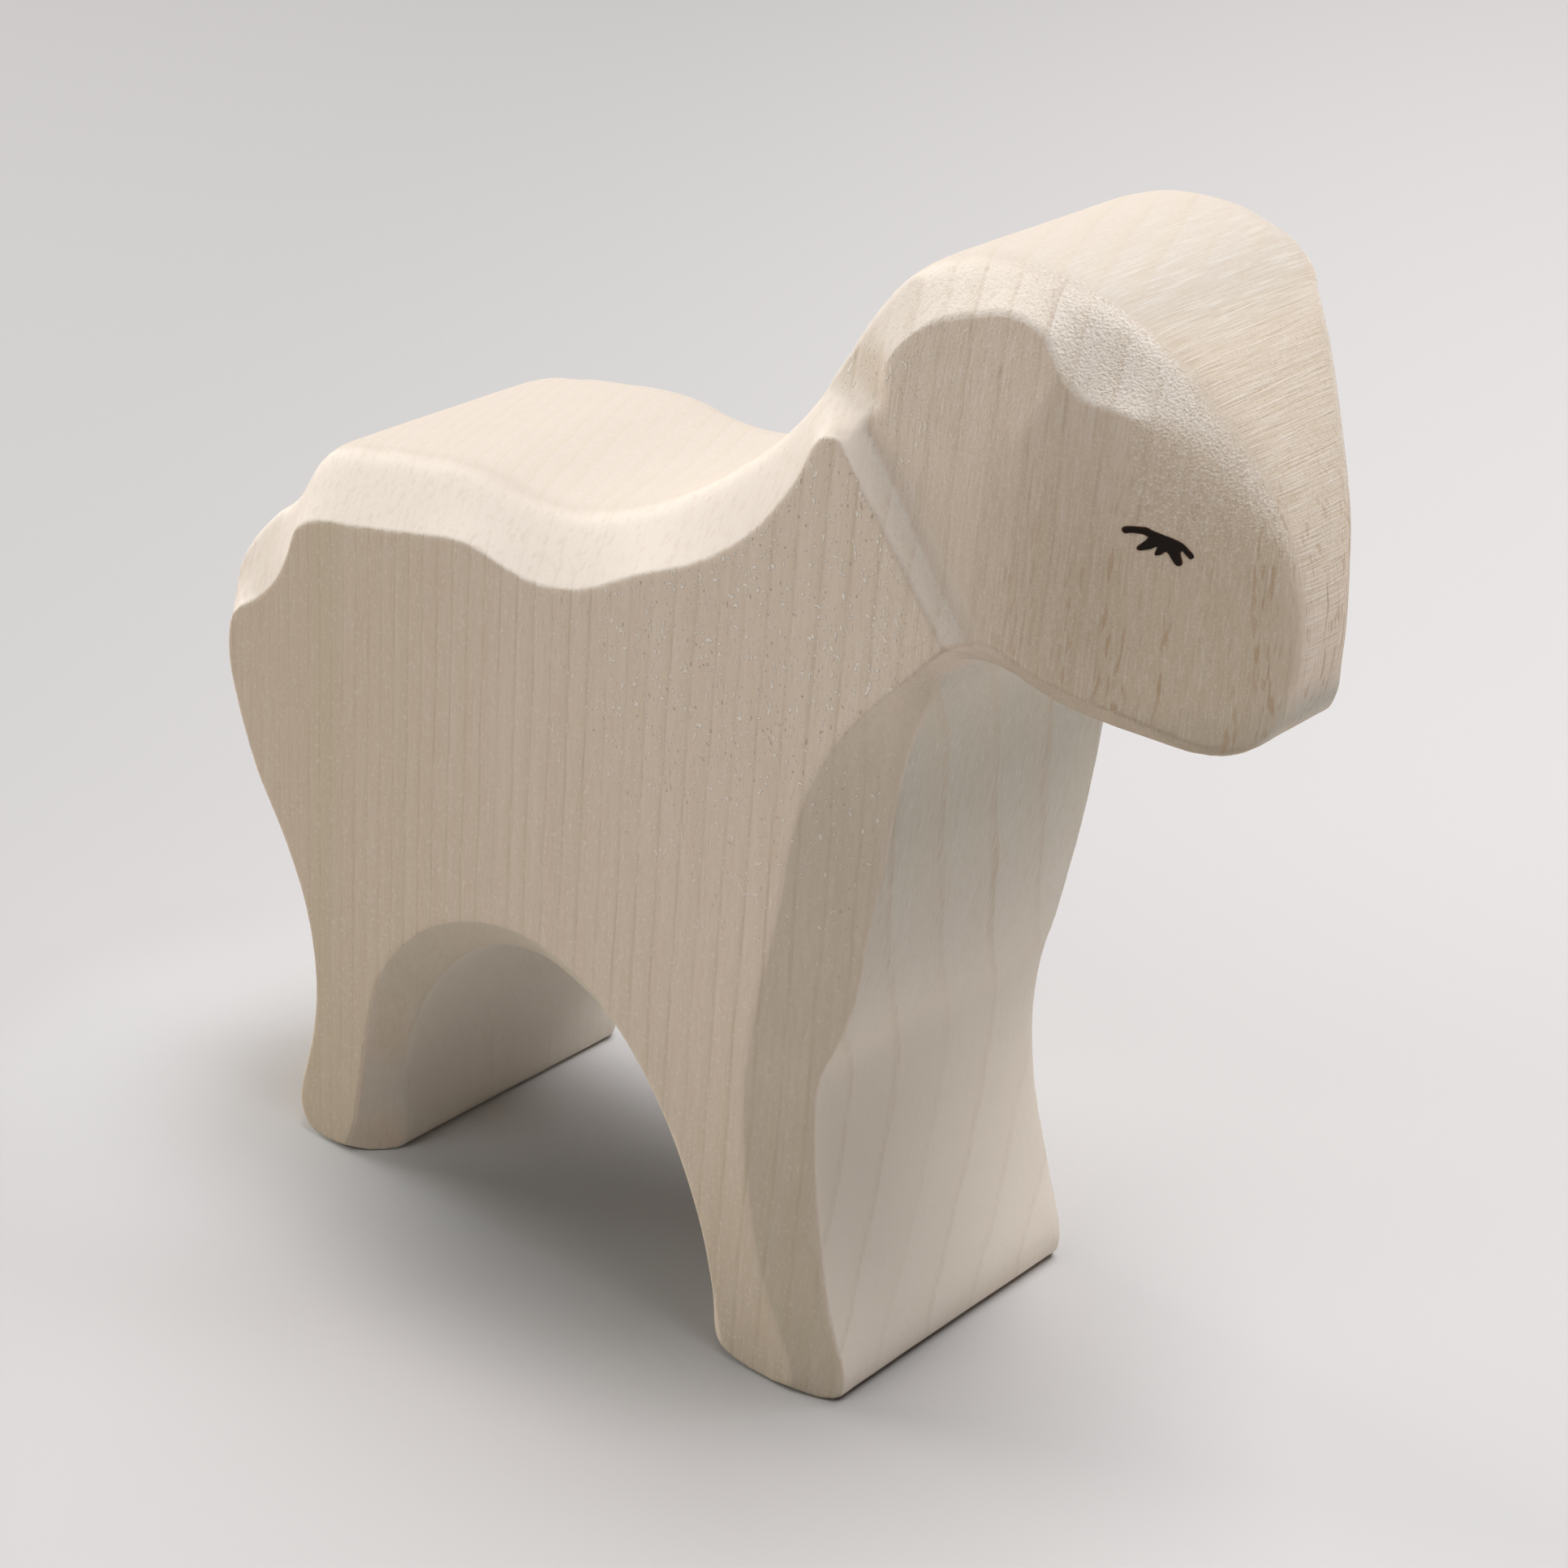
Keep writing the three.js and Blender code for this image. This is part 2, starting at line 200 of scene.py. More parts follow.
class NodeTree:
    """A short way to write a shader's nodes. Values may be sockets or plain numbers."""

    def __init__(self, owner):
        owner.use_nodes = True
        self.tree = owner.node_tree
        self.tree.nodes.clear()

    def node(self, kind, **settings):
        made = self.tree.nodes.new(kind)
        for name, value in settings.items():
            setattr(made, name, value)
        return made

    def feed(self, socket, value):
        if isinstance(value, bpy.types.NodeSocket):
            self.tree.links.new(value, socket)
        else:
            socket.default_value = value

    def feed_all(self, sockets, values):
        for socket, value in zip(sockets, values):
            self.feed(socket, value)

    def math(self, operation, first, second=0.0):
        made = self.node("ShaderNodeMath", operation=operation)
        self.feed_all(made.inputs, (first, second))
        return made.outputs[0]

    def product(self, first, *others):
        for other in others:
            first = self.math("MULTIPLY", first, other)
        return first

    def total(self, first, *others):
        for other in others:
            first = self.math("ADD", first, other)
        return first

    def weighted(self, *pairs):
        """The sum of some values, each given with its weight."""
        return self.total(*(self.product(value, weight) for value, weight in pairs))

    def less(self, first, second):
        return self.math("SUBTRACT", first, second)

    def size(self, value):
        return self.math("ABSOLUTE", value)

    def greatest(self, first, second):
        return self.math("MAXIMUM", first, second)

    def between(self, low, high, share):
        return self.total(self.product(share, high - low), low)

    def swing(self, pattern, reach):
        """A noise pattern as a push both ways about 0."""
        return self.product(self.less(pattern, 0.5), reach)

    def vector_math(self, operation, first, second):
        made = self.node("ShaderNodeVectorMath", operation=operation)
        self.feed_all(made.inputs, (first, second))
        return made.outputs

    def dot(self, vector, direction):
        return self.vector_math("DOT_PRODUCT", vector, direction)["Value"]

    def distance(self, vector, place):
        return self.vector_math("DISTANCE", vector, place)["Value"]

    def stretched(self, vector, scale):
        return self.vector_math("MULTIPLY", vector, scale)["Vector"]

    def millimetres(self):
        place = self.node("ShaderNodeTexCoord").outputs["Object"]
        return self.stretched(place, (1 / MM, 1 / MM, 1 / MM))

    def noise(self, vector, scale, detail=2):
        made = self.node("ShaderNodeTexNoise")
        self.feed(made.inputs["Vector"], self.stretched(vector, scale))
        made.inputs["Scale"].default_value = 1.0
        made.inputs["Detail"].default_value = detail
        return made.outputs["Fac"]

    def ramp(self, value, start, end):
        """0 before start, 1 after end, smooth between. It falls where end is below start."""
        made = self.node("ShaderNodeMapRange", interpolation_type="SMOOTHSTEP")
        self.feed(made.inputs["Value"], value)
        made.inputs["From Min"].default_value = min(start, end)
        made.inputs["From Max"].default_value = max(start, end)
        made.inputs["To Min"].default_value = 0.0 if start < end else 1.0
        made.inputs["To Max"].default_value = 1.0 if start < end else 0.0
        return made.outputs["Result"]

    def band(self, value, outer_low, inner_low, inner_high, outer_high):
        """1 between the inner limits, 0 outside the outer ones."""
        return self.product(
            self.ramp(value, outer_low, inner_low),
            self.ramp(value, outer_high, inner_high),
        )

    def mix(self, factor, first, second, blend="MIX"):
        made = self.node("ShaderNodeMix", data_type="RGBA", blend_type=blend)
        self.feed(made.inputs["Factor"], factor)
        for socket, value in zip((made.inputs[6], made.inputs[7]), (first, second)):
            self.feed(socket, value if isinstance(value, bpy.types.NodeSocket) else (*value, 1.0))
        return made.outputs[2]

    def stained(self, colour, stain, strength, *masks):
        """The colour with a share of a stain, in places where every mask is above 0."""
        return self.mix(self.product(*masks, strength), colour, stain)

    def tinted(self, colour, factor, tint):
        return self.mix(factor, colour, tint, "MULTIPLY")

    def parts(self, vector):
        made = self.node("ShaderNodeSeparateXYZ")
        self.feed(made.inputs[0], vector)
        return made.outputs

    def joined(self, x, y, z):
        made = self.node("ShaderNodeCombineXYZ")
        self.feed_all(made.inputs, (x, y, z))
        return made.outputs[0]

    def bump(self, height, distance):
        made = self.node("ShaderNodeBump")
        self.feed(made.inputs["Height"], height)
        made.inputs["Distance"].default_value = distance
        return made.outputs["Normal"]

    def principled(self, colour, roughness, specular, normal=None):
        made = self.node("ShaderNodeBsdfPrincipled")
        self.feed(made.inputs["Base Color"], colour)
        self.feed(made.inputs["Roughness"], roughness)
        made.inputs["Specular IOR Level"].default_value = specular
        if normal is not None:
            self.feed(made.inputs["Normal"], normal)
        return made.outputs["BSDF"]

    def glowing(self, kind, colour, strength=1.0):
        made = self.node(kind)
        made.inputs["Color"].default_value = (*colour, 1.0)
        made.inputs["Strength"].default_value = strength
        return made.outputs[0]

    def seen(self):
        """1 for what the camera sees, straight or by way of gloss or glass."""
        rays = self.node("ShaderNodeLightPath").outputs
        straight_or_gloss = self.greatest(rays["Is Camera Ray"], rays["Is Glossy Ray"])
        return self.greatest(straight_or_gloss, rays["Is Transmission Ray"])

    def either(self, factor, first, second):
        made = self.node("ShaderNodeMixShader")
        self.feed_all(made.inputs, (factor, first, second))
        return made.outputs[0]

    def surface(self, shader, kind="ShaderNodeOutputMaterial"):
        made = self.node(kind)
        self.feed(made.inputs["Surface"], shader)


def places_on_wood(t):
    """Where a point is on the figure, where it is in the grain, and which way it faces."""
    place = t.millimetres()
    x, y, z = t.parts(place)
    facing = t.node("ShaderNodeNewGeometry").outputs["Normal"]
    forward, left, up = t.parts(facing)
    across_x, across_y = math.cos(RING_ANGLE), math.sin(RING_ANGLE)
    ring = t.dot(place, (across_x, across_y, -across_x * LEAN_FORWARD))
    along = t.dot(place, (-across_y, across_x, across_y * LEAN_FORWARD))
    return SimpleNamespace(
        place=place,
        x=x,
        y=y,
        z=z,
        ring=ring,
        grain=t.joined(ring, along, z),
        forward=forward,
        sideways=t.size(left),
        up=up,
        endways=t.size(t.dot(facing, Vector((LEAN_FORWARD, 0, 1)).normalized())),
    )


def add_regions(t, at):
    """The regions of the figure that several layers share.

    Here and in the layers, limits on x, y and z are millimetres. Limits on forward, sideways,
    up and endways say how squarely the wood faces that way.
    """
    at.side = t.ramp(at.sideways, 0.8, 0.95)
    at.off_rim = t.ramp(at.sideways, 0.2, 0.5)
    at.below = t.ramp(at.up, -0.1, -0.4)
    at.front = t.ramp(at.x, 5, 9)
    at.under_head = t.ramp(at.z, 70, 66)
    at.over_chin = t.ramp(at.z, 60, 64)
    at.head = t.product(t.ramp(at.x, 22, 26), t.ramp(at.z, 64, 68))
    at.head_side = t.product(at.head, t.ramp(at.sideways, 0.5, 0.7))


def fibres(t, at):
    """The plain wood: long soft streaks and fine fibres, which hardly show on end grain."""
    streaks = t.noise(at.grain, (0.9, 0.9, 0.03), detail=3)
    fine = t.noise(at.grain, (3.6, 3.6, 0.4))
    clouds = t.noise(at.place, (0.04, 0.04, 0.02))
    mottle = t.noise(at.place, (2.8, 2.8, 1.8))
    shown = t.between(0.15, 1.0, t.ramp(at.endways, 0.75, 0.2))
    tone = t.weighted((streaks, 0.4), (fine, 0.35), (clouds, 0.25))
    tone = t.total(t.swing(tone, shown), t.swing(mottle, 0.32))
    colour = t.mix(t.ramp(tone, -0.2, 0.2), PALE_WOOD, DEEP_WOOD)
    height = t.weighted((streaks, 0.4), (fine, 0.5))
    return colour, t.product(height, shown)


def uneven_tone_and_painted_shade(t, at, colour, height):
    """The sides are browner towards the rear and carry painted shade towards the feet. The cheeks
    are browner towards the muzzle, partly painted shade, and the jaw, which faces down, carries
    painted shade.
    """
    colour = t.tinted(colour, t.product(t.ramp(at.x, 25, -50), at.side), REAR_TINT)
    # Painted shade on the sides towards the feet
    colour = t.tinted(colour, t.product(t.ramp(at.z, 34, 6), at.side), LEG_PAINTED_SHADE)
    # Browner cheeks towards the muzzle, partly painted shade
    cheek = t.product(t.ramp(at.x, 24, 44), t.ramp(at.z, 94, 76), at.over_chin)
    colour = t.tinted(colour, t.product(cheek, at.off_rim), CHEEK_TONE_AND_SHADE)
    # Painted shade on the jaw, which faces down
    shaded_jaw = t.product(at.below, t.ramp(at.x, 26, 30), at.over_chin)
    return t.tinted(colour, shaded_jaw, JAW_PAINTED_SHADE), height


def faces_and_painted_light(t, at, colour, height):
    """The crown, back and face carry painted shade, partly darker end grain. The breast bevel, the
    arch's bevels and the upper chest carry painted shade, and the low chest painted light. Chest and
    arch are cooler.
    """
    # Painted shade on the tops, partly darker end grain
    colour = t.tinted(colour, t.ramp(at.endways, 0.62, 0.95), TOP_PAINTED_SHADE)
    # Painted shade on the face, partly darker end grain
    face = t.product(t.ramp(at.forward, 0.3, 0.6), t.ramp(at.up, 0.0, 0.35), t.ramp(at.z, 66, 70))
    colour = t.tinted(colour, face, FACE_PAINTED_SHADE)
    # Painted shade on the breast bevel under the head
    shaded_breast = t.product(t.band(at.forward, 0.15, 0.3, 0.7, 0.9), at.front, at.under_head)
    colour = t.tinted(colour, shaded_breast, BREAST_PAINTED_SHADE)
    # Painted shade on the arch's bevels, which face down
    shaded_arch_bevel = t.product(at.below, t.ramp(at.sideways, 0.3, 0.5), t.ramp(at.z, 36, 32))
    colour = t.tinted(colour, shaded_arch_bevel, ARCH_PAINTED_SHADE)
    chest = t.product(t.ramp(at.forward, 0.75, 0.95), at.front, at.under_head)
    arch = t.product(
        t.ramp(at.sideways, 0.6, 0.35),
        t.band(at.x, -39, -35, 5, 9),
        t.ramp(at.z, 32, 28),
    )
    colour = t.stained(colour, CHEST_WOOD, 0.6, t.total(chest, arch))
    # Painted light on the low chest
    colour = t.stained(colour, LOW_CHEST_PAINTED_LIGHT, 0.8, chest, t.ramp(at.z, 42, 14))
    # Painted shade on the upper chest under the head
    return t.tinted(colour, t.product(chest, t.ramp(at.z, 34, 62)), THROAT_PAINTED_SHADE), height


def painted_light_bevels(t, at, colour, height):
    """Bevels that face up are painted paler where the light from above falls on them, with fine
    lines down the grain.
    """
    # Painted light on the bevels that face up
    lit_from_above = t.product(t.ramp(at.up, 0.1, 0.35), t.ramp(at.endways, 0.95, 0.65), at.off_rim)
    lines = t.ramp(t.noise(at.grain, (2.0, 2.0, 0.05), detail=1), 0.5, 0.75)
    colour = t.stained(colour, PAINTED_LIGHT_WOOD, 0.65, lit_from_above)
    return t.stained(colour, RING_BROWN, 0.16, lit_from_above, lines), height


def olive_bands(t, at, colour, height):
    """Faint olive bands along the grain, strongest at the rear."""
    bands = t.ramp(t.noise(at.grain, (0.21, 0.06, 0.006), detail=1), 0.5, 0.72)
    strength = t.between(0.08, 0.48, t.ramp(at.x, 0, -40))
    return t.mix(t.product(bands, strength, at.side), colour, OLIVE_WOOD), height


def growth_rings(t, at, colour, height):
    """Each ring darkens slowly and ends at a thin brown line, plainest on the sides and throat."""
    widening = t.total(t.product(at.ring, RING_GROWTH / RING_SPACING), 1.0)
    turns = t.product(t.math("LOGARITHM", widening, math.e), 1 / RING_GROWTH)
    wander = t.swing(t.noise(at.grain, (0.06, 0.03, 0.008)), 0.8)
    wobble = t.swing(t.noise(at.grain, (0.25, 0.2, 0.1)), 0.25)
    turn = t.math("FRACT", t.total(turns, wander, wobble, RING_START))
    strength = t.between(0.4, 1.0, t.ramp(t.noise(at.grain, (0.33, 0.04, 0.012)), 0.3, 0.6))
    ragged = t.between(0.25, 1.0, t.ramp(t.noise(at.grain, (3.0, 3.0, 0.25)), 0.35, 0.65))
    chest = t.product(t.ramp(at.forward, 0.7, 0.95), at.front, at.under_head)
    throat = t.product(chest, t.between(0.09, 0.37, t.ramp(at.z, 26, 46)))
    sides = t.greatest(t.ramp(at.sideways, 0.82, 0.95), at.head_side)
    top = t.ramp(at.up, 0.8, 0.95)
    shown = t.total(throat, t.product(sides, 0.3), t.product(top, 0.06), 0.06)
    late_wood = t.product(t.band(turn, 0.25, 0.85, 0.93, 1.0), strength)
    colour = t.mix(t.product(late_wood, t.weighted((shown, 0.5), (top, 0.16))), colour, OLIVE_WOOD)
    line = t.product(t.band(turn, 0.79, 0.9, 0.95, 1.0), strength, ragged, shown)
    return t.mix(line, colour, RING_BROWN), t.less(height, t.product(line, 0.5))


def thin_lines(t, at, colour, height):
    """Long hair-thin scratches and pores along the grain, most on the head and the throat."""
    grain = t.noise(at.grain, (6.0, 6.0, 0.16), detail=1)
    throat = t.product(t.ramp(at.forward, 0.7, 0.95), t.ramp(at.z, 26, 46))
    strength = t.between(0.035, 0.185, t.greatest(at.head, throat))
    visible = t.product(strength, t.ramp(at.endways, 0.85, 0.6))
    dark = t.product(t.ramp(grain, 0.6, 0.72), visible)
    pale = t.product(t.ramp(grain, 0.42, 0.3), visible)
    colour = t.mix(dark, colour, LINE_BROWN)
    colour = t.mix(pale, colour, TORN_PALE)
    return colour, t.total(t.less(height, dark), pale)


def cheek_flecks(t, at, colour, height):
    """Short brown flecks along the grain, on the lower cheeks and muzzle."""
    fleck = t.ramp(t.noise(at.grain, (3.2, 3.2, 0.55), detail=0), 0.56, 0.68)
    rows = t.ramp(t.noise(at.grain, (0.6, 0.6, 0.05), detail=1), 0.44, 0.58)
    cheek = t.product(t.ramp(at.x, 28, 46), t.ramp(at.z, 90, 76), at.over_chin)
    shade = t.product(fleck, rows, cheek, t.ramp(at.endways, 0.75, 0.5))
    return t.stained(colour, FLECK_BROWN, 0.42, shade), t.less(height, t.product(shade, 0.5))


def saw_scores(t, at, colour, height):
    """Fine ridges left across the sawn rim by the saw, plainest on the forehead and face."""
    rim = t.ramp(at.sideways, 0.35, 0.12)
    face = t.product(t.ramp(at.x, 30, 44), t.ramp(at.z, 66, 72))
    deep = t.product(rim, t.between(0.08, 1.0, face))
    angle = t.math("ARCTAN2", t.less(at.z, SCORES_Z), t.less(at.x, SCORES_X))
    scored = t.joined(t.product(angle, SCORES_RADIUS), at.y, 0.0)
    ridges = t.weighted(
        (t.noise(scored, (8.0, 0.3, 1.0), detail=1), 0.6),
        (t.noise(scored, (4.4, 0.2, 1.0), detail=0), 0.4),
    )
    colour = t.stained(colour, RING_BROWN, 0.28, t.ramp(ridges, 0.52, 0.66), deep)
    colour = t.stained(colour, TORN_PALE, 0.2, t.ramp(ridges, 0.48, 0.34), deep)
    return colour, t.less(height, t.product(ridges, deep, 1.6))


def speckle_and_painted_glints(t, at, colour, height):
    """A rough speckle on the cheek bevels and the head, whose pale points are painted glints, and
    painted glints on the flank beside small dark pits.
    """
    speckle = t.noise(at.place, (4.6, 4.6, 5.6), detail=1)
    bevel = t.product(
        t.ramp(at.x, 27, 42),
        t.ramp(at.z, 74, 84),
        t.band(at.sideways, 0.2, 0.4, 0.75, 0.9),
    )
    rough = t.greatest(bevel, t.product(at.head_side, 0.36))
    # The speckle's pale points are painted glints
    colour = t.stained(colour, PAINTED_GLINT, 0.5, t.ramp(speckle, 0.56, 0.68), rough)
    colour = t.stained(colour, RING_BROWN, 0.36, t.ramp(speckle, 0.44, 0.32), rough)
    height = t.total(height, t.product(speckle, rough, 1.6))
    sparkle = t.noise(at.place, (3.4, 3.4, 2.2), detail=0)
    by_neck = t.product(t.band(at.x, -16, 4, 24, 32), t.ramp(at.z, 30, 62))
    flank = t.product(t.between(0.2, 0.95, by_neck), at.side)
    # Painted glints on the flank
    painted_glints = t.product(t.ramp(sparkle, 0.69, 0.75), flank)
    pits = t.product(t.ramp(sparkle, 0.2, 0.14), flank)
    colour = t.stained(colour, PAINTED_GLINT, 0.85, painted_glints)
    colour = t.stained(colour, LINE_BROWN, 0.4, pits)
    return colour, t.total(t.less(height, t.product(pits, 1.5)), t.product(painted_glints, 1.5))


def neck_line(t, at, colour, height):
    """The smooth wall at the neck carries a painted shade, a little pinker, with painted light in a
    band at its foot and a thin dark line along its lower edge.
    """
    way = (NECK_BOTTOM - NECK_TOP).normalized()
    ahead = Vector((-way.y, 0, way.x))
    start = ahead.x * NECK_TOP.x + ahead.z * NECK_TOP.y
    past = t.less(t.dot(at.place, ahead), start)
    on_side = t.product(t.ramp(t.size(at.y), 11, 13), t.band(at.z, 69, 71, 82, 86))
    # Painted shade on the wall, and painted light in a band at its foot
    wall_shade = t.product(t.band(past, 0.0, 0.25, 0.75, 1.4), on_side)
    foot_light = t.product(t.band(past, 0.9, 1.6, 2.6, 3.6), on_side)
    line = t.product(t.band(past, -0.22, -0.02, 0.08, 0.3), on_side, t.ramp(at.z, 83, 75))
    colour = t.stained(colour, STRIP_PAINTED_SHADE, 0.4, wall_shade)
    colour = t.stained(colour, PAINTED_LIGHT_WOOD, 0.2, foot_light)
    return t.stained(colour, LINE_BROWN, 0.2, line), height


def crown_streak(t, at, colour, height):
    """One short orange-brown streak on the right of the crown."""
    beside = t.size(t.less(t.total(at.x, t.product(at.z, STREAK_LEAN)), STREAK_X))
    length = t.product(t.band(at.z, 92.8, 93.6, 97.0, 97.8), t.band(at.y, -14, -13.2, -10.6, -9.8))
    streak = t.product(t.ramp(beside, 0.16, 0.04), length)
    return t.stained(colour, FLECK_BROWN, 0.22, streak), t.less(height, streak)


WOOD_LAYERS = (
    uneven_tone_and_painted_shade,
    faces_and_painted_light,
    painted_light_bevels,
    olive_bands,
    growth_rings,
    thin_lines,
    cheek_flecks,
    saw_scores,
    speckle_and_painted_glints,
    neck_line,
    crown_streak,
)


def wood_material():
    material = bpy.data.materials.new("sanded_pale_wood")
    t = NodeTree(material)
    at = places_on_wood(t)
    add_regions(t, at)
    colour, height = fibres(t, at)
    for layer in WOOD_LAYERS:
        colour, height = layer(t, at, colour, height)
    shine = t.noise(at.grain, (1.5, 1.5, 0.08))
    t.surface(t.principled(
        colour,
        roughness=t.between(0.55, 0.75, shine),
        specular=0.25,
        normal=t.bump(height, distance=0.05 * MM),
    ))
    return material


def ink_material():
    """Black ink that has soaked into the wood, brown along parts of its edge."""
    material = bpy.data.materials.new("black_pen_ink")
    t = NodeTree(material)
    depth = t.node("ShaderNodeAttribute", attribute_name="ink_depth").outputs["Fac"]
    soak = t.noise(t.millimetres(), (3.0, 3.0, 0.7))
    fringe = t.product(t.ramp(depth, 0.75, 0.0), t.ramp(soak, 0.4, 0.65))
    t.surface(t.principled(
        t.mix(fringe, INK_BLACK, INK_BROWN),
        roughness=t.between(0.45, 0.75, soak),
        specular=0.1,
        normal=t.bump(soak, distance=0.02 * MM),
    ))
    return material


def floor_material():
    """Pale paper with painted light and shade near the figure, which fades into the backdrop far
    from the figure.
    """
    material = bpy.data.materials.new("pale_paper_floor")
    t = NodeTree(material)
    place = t.millimetres()
    # A painted gradient of light across the floor
    colour = t.mix(t.ramp(t.dot(place, FLOOR_ACROSS), *FLOOR_CHANGE), FLOOR_DARK, FLOOR_PALE)
    # A painted pool of light beside the heel
    beside = t.ramp(t.distance(place, GLOW_CENTRE), *GLOW_CHANGE)
    colour = t.mix(beside, colour, GLOW_COLOUR)
    # A painted shadow under the figure
    under = t.ramp(t.distance(t.stretched(place, SHADE_SHAPE), SHADE_CENTRE), *SHADE_CHANGE)
    paper = t.principled(t.tinted(colour, under, SHADE_TINT), roughness=0.9, specular=0.1)
    backdrop = t.glowing("ShaderNodeEmission", HORIZON_COLOUR)
    far = t.ramp(t.distance(place, FLOOR_MIDDLE), *FAR_CHANGE)
    t.surface(t.either(t.product(far, t.seen()), paper, backdrop))
    return material


def new_piece(name, mesh, material):
    piece = bpy.data.objects.new(name, mesh)
    bpy.context.scene.collection.objects.link(piece)
    mesh.materials.clear()
    mesh.materials.append(material)
    return piece


def rows_of(collection, value, width, kind):
    """One value of everything in a collection, as rows of numbers."""
    numbers = np.zeros(len(collection) * width, dtype=kind)
    collection.foreach_get(value, numbers)
    return numbers.reshape(-1, width)


def coordinates(mesh):
    return rows_of(mesh.vertices, "co", 3, float)


def normals(mesh):
    return rows_of(mesh.vertex_normals, "vector", 3, float)


def edge_ends(mesh):
    return rows_of(mesh.edges, "vertices", 2, np.int32).T


def set_coordinates(mesh, places):
    mesh.vertices.foreach_set("co", places.astype(np.float32).ravel())
    mesh.update()


def drawn_to(solid, mesh):
    """Lays the mesh on the CAD solid, and tells which way the solid faces at each vertex."""
    nearest = [solid.find_nearest(Vector(place))[:2] for place in coordinates(mesh)]
    set_coordinates(mesh, np.array([place for place, _ in nearest]))
    return np.array([facing for _, facing in nearest])


def bends(facings, first, second):
    """How much the solid turns between the ends of each edge of the mesh."""
    return 1 - np.sum(facings[first] * facings[second], axis=1)


def soft_edges(mesh, facings, first, second):
    """Tells which edges of the mesh lie along the top and the face, which were sanded rounder."""
    high = coordinates(mesh)[:, 2] > SOFT_HEIGHT
    soft = high & (np.abs(facings[:, 1]) < SOFT_SIDE) & (facings[:, 2] > SOFT_DROP)
    return soft[first] & soft[second]


def refine_edges(mesh, facings):
    """Cuts the mesh finer at the edges of the flanks, the head's sides and the bevels."""
    first, second = edge_ends(mesh)
    turning = bends(facings, first, second) > SHARP_BEND
    turning &= np.abs(facings[first, 1]) + np.abs(facings[second, 1]) > SIDE_FACING
    turning &= ~soft_edges(mesh, facings, first, second)
    near = np.zeros(len(facings), dtype=bool)
    near[first[turning]] = True
    near[second[turning]] = True
    beside = near[first] | near[second]
    near[first[beside]] = True
    near[second[beside]] = True
    shape = bmesh.new()
    shape.from_mesh(mesh)
    edges = [edge for edge in shape.edges if near[edge.verts[0].index] and near[edge.verts[1].index]]
    bmesh.ops.subdivide_edges(shape, edges=edges, cuts=1, use_grid_fill=True)
    shape.to_mesh(mesh)
    shape.free()


def smooth(mesh, facings):
    """Evens out the facets of each face, but keeps the edges between faces that are not soft."""
    first, second = edge_ends(mesh)
    least = np.where(soft_edges(mesh, facings, first, second), SOFT_PULL, CREASE_PULL)[:, None]
    alike = np.exp(-bends(facings, first, second) / CREASE_BEND)[:, None]
    weight = least + (1 - least) * alike
    neighbours = np.bincount(np.concatenate((first, second)), minlength=len(facings))[:, None]
    for _ in range(SMOOTHING_PASSES):
        places = coordinates(mesh)
        pull = np.zeros_like(places)
        for here, there in ((first, second), (second, first)):
            np.add.at(pull, here, weight * (places[there] - places[here]))
        set_coordinates(mesh, places + SMOOTHING_SHARE * pull / neighbours)


def sanding_unevenness(places, directions):
    """How far hand sanding left each place above or below the true face."""
    lift = np.zeros(len(places))
    for length, depth in SANDING_WAVES:
        lift += [depth * noise.noise(Vector(place) / length) for place in places]
    planed = np.clip((np.abs(directions[:, 1]) - PLANED_FACING) / PLANED_BLEND, 0, 1)
    return lift * (1 - planed * (1 - PLANED_SHARE))


def sanded_body(material):
    """The CAD body as a fine even mesh, with eased edges and gently uneven faces."""
    node = frame["nodes"]["carved_body"]
    piece = new_piece("sanded_body", node.data.copy(), material)
    piece.data.remesh_voxel_size = VOXEL
    piece.data.remesh_voxel_adaptivity = 0.0
    bpy.context.view_layer.objects.active = piece
    bpy.ops.object.voxel_remesh()
    mesh = piece.data
    solid = BVHTree.FromObject(node, bpy.context.evaluated_depsgraph_get())
    for _ in range(REFINEMENTS):
        refine_edges(mesh, drawn_to(solid, mesh))
    smooth(mesh, drawn_to(solid, mesh))
    places = coordinates(mesh)
    directions = normals(mesh)
    places = places + directions * sanding_unevenness(places, directions)[:, None]
    places[:, 2] = np.maximum(places[:, 2], 0.0)
    set_coordinates(mesh, places)
    mesh.shade_smooth()
    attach(piece, BODY)
    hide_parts("carved_body")
    return piece


def around(points):
    """Each point of a closed outline with the next one."""
    return zip(points, points[1:] + points[:1])


def cap_outline(node, side):
    """The outline of a CAD eye's outer face, as ordered points (x, z)."""
    shape = bmesh.new()
    shape.from_mesh(frame["nodes"][node].data)
    bmesh.ops.remove_doubles(shape, verts=shape.verts, dist=MERGE_GAP)
    cap = {face for face in shape.faces if face.normal.y * side > CAP_FACING}
    rim = [edge for edge in shape.edges if sum(face in cap for face in edge.link_faces) == 1]
    follows = {}
    for edge in rim:
        for vertex in edge.verts:
            follows.setdefault(vertex, []).append(edge.other_vert(vertex))
    start = rim[0].verts[0]
    ordered = [start, follows[start][0]]
    while len(ordered) < len(follows):
        ahead = [vertex for vertex in follows[ordered[-1]] if vertex is not ordered[-2]]
        ordered.append(ahead[0])
    points = [Vector((vertex.co.x, vertex.co.z)) for vertex in ordered]
    shape.free()
    return points


def rounded(points):
    """A closed outline with its corners cut, as a pen leaves them."""
    for _ in range(CORNER_CUTS):
        cut = []
        for here, ahead in around(points):
            cut += [here.lerp(ahead, CORNER_CUT), here.lerp(ahead, 1 - CORNER_CUT)]
        points = cut
    return points


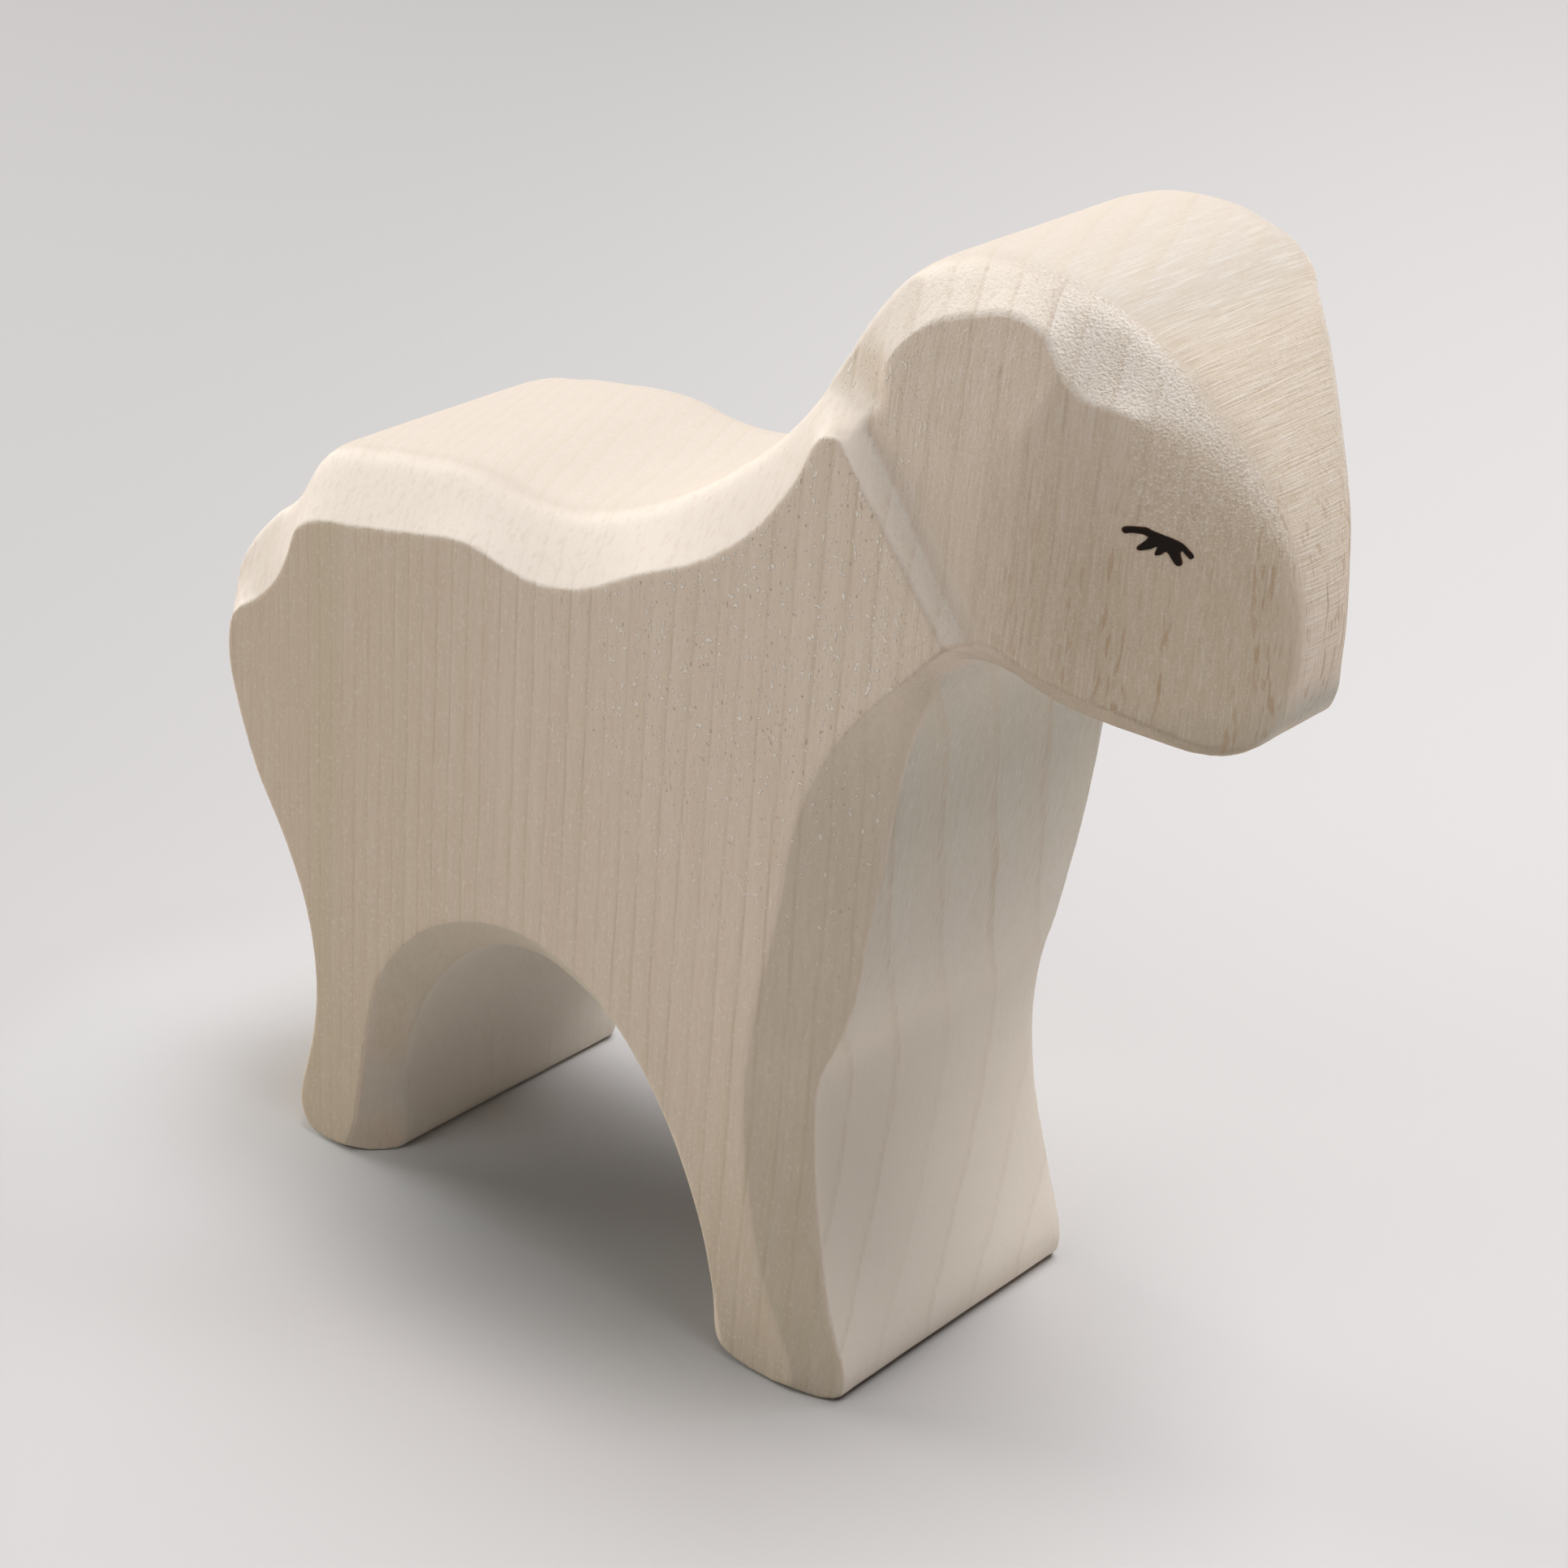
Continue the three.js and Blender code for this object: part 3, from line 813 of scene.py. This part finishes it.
def encloses(outline, point):
    within = False
    for here, ahead in around(outline):
        if (here.y > point.y) != (ahead.y > point.y):
            crossing = here.x + (point.y - here.y) / (ahead.y - here.y) * (ahead.x - here.x)
            within = within != (point.x < crossing)
    return within


def edge_distance(outline, point):
    gaps = []
    for here, ahead in around(outline):
        _, share = geometry.intersect_point_line(point, here, ahead)
        gaps.append((here.lerp(ahead, min(max(share, 0.0), 1.0)) - point).length)
    return min(gaps)


def inside_points(outline):
    """A grid of points well inside a closed outline."""
    xs = [point.x for point in outline]
    zs = [point.y for point in outline]
    found = []
    for x in np.arange(min(xs), max(xs), INK_GRID):
        for z in np.arange(min(zs), max(zs), INK_GRID):
            point = Vector((x, z))
            if encloses(outline, point) and edge_distance(outline, point) > INK_GRID / 2:
                found.append(point)
    return found


def inked_eye(name, node, side, wood, material):
    """A thin slip of ink that follows the wood under a CAD eye."""
    outline = rounded(cap_outline(node, side))
    loop = [(i, (i + 1) % len(outline)) for i in range(len(outline))]
    points = outline + inside_points(outline)
    flat, _, faces, *_ = geometry.delaunay_2d_cdt(points, loop, [], INSIDE_ONLY, MERGE_GAP)
    surface = BVHTree.FromObject(wood, bpy.context.evaluated_depsgraph_get())
    outside = side * 2 * cad_box[1].y
    shape = bmesh.new()
    depths = shape.verts.layers.float.new("ink_depth")
    tops = []
    bottoms = []
    for point in flat:
        origin = Vector((point.x, outside, point.y))
        hit, facing, *_ = surface.ray_cast(origin, Vector((0, -side, 0)))
        depth = min(edge_distance(outline, point) / INK_FRINGE, 1.0)
        for layer, lift in ((tops, INK_PROUD), (bottoms, -INK_SUNK)):
            vertex = shape.verts.new(hit + facing * lift)
            vertex[depths] = depth
            layer.append(vertex)
    for face in faces:
        shape.faces.new([tops[i] for i in face])
        shape.faces.new([bottoms[i] for i in reversed(face)])
    under = dict(zip(tops, bottoms))
    open_edges = [edge for edge in shape.edges if len(edge.link_faces) == 1]
    for first, second in [edge.verts for edge in open_edges if edge.verts[0] in under]:
        shape.faces.new([first, second, under[second], under[first]])
    bmesh.ops.recalc_face_normals(shape, faces=shape.faces)
    mesh = bpy.data.meshes.new(name)
    shape.to_mesh(mesh)
    shape.free()
    piece = new_piece(name, mesh, material)
    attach(piece, BODY)
    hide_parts(node)


def floor():
    bpy.ops.mesh.primitive_plane_add(size=2 * FLOOR_REACH * MM)
    made = bpy.context.object
    made.name = "floor"
    made.data.materials.append(floor_material())


def aimed(made, place, aim):
    made.location = place
    made.rotation_mode = "QUATERNION"
    made.rotation_quaternion = (aim - place).to_track_quat("-Z", "Y")
    bpy.context.scene.collection.objects.link(made)


def lights():
    low, high = cad_box
    middle = (low + high) / 2
    for name, place, size, watts, colour in LIGHTS:
        lamp = bpy.data.lights.new(name, "AREA")
        lamp.size = size
        lamp.energy = watts
        lamp.color = colour
        aimed(bpy.data.objects.new(name, lamp), place, middle)


def world():
    """A pale backdrop where it is seen, and a faint even light elsewhere."""
    made = bpy.data.worlds.new("studio")
    bpy.context.scene.world = made
    t = NodeTree(made)
    soft = t.glowing("ShaderNodeBackground", AMBIENT_COLOUR, AMBIENT)
    backdrop = t.glowing("ShaderNodeBackground", HORIZON_COLOUR)
    t.surface(t.either(t.seen(), soft, backdrop), "ShaderNodeOutputWorld")


def camera():
    lens = bpy.data.cameras.new("camera")
    lens.lens = CAMERA_LENS
    lens.clip_start = CAMERA_NEAR
    ahead = -Vector((
        math.sin(CAMERA_AZIMUTH) * math.cos(CAMERA_ELEVATION),
        -math.cos(CAMERA_AZIMUTH) * math.cos(CAMERA_ELEVATION),
        math.sin(CAMERA_ELEVATION),
    ))
    made = bpy.data.objects.new("camera", lens)
    aimed(made, CAMERA_PLACE, CAMERA_PLACE + ahead)
    bpy.context.scene.camera = made


camera()
floor()
lights()
world()
bpy.context.scene.view_settings.view_transform = "Standard"

wood_body = sanded_body(wood_material())
ink = ink_material()
inked_eye("inked_right_eye", "right_eye", -1, wood_body, ink)
inked_eye("inked_left_eye", "left_eye", 1, wood_body, ink)
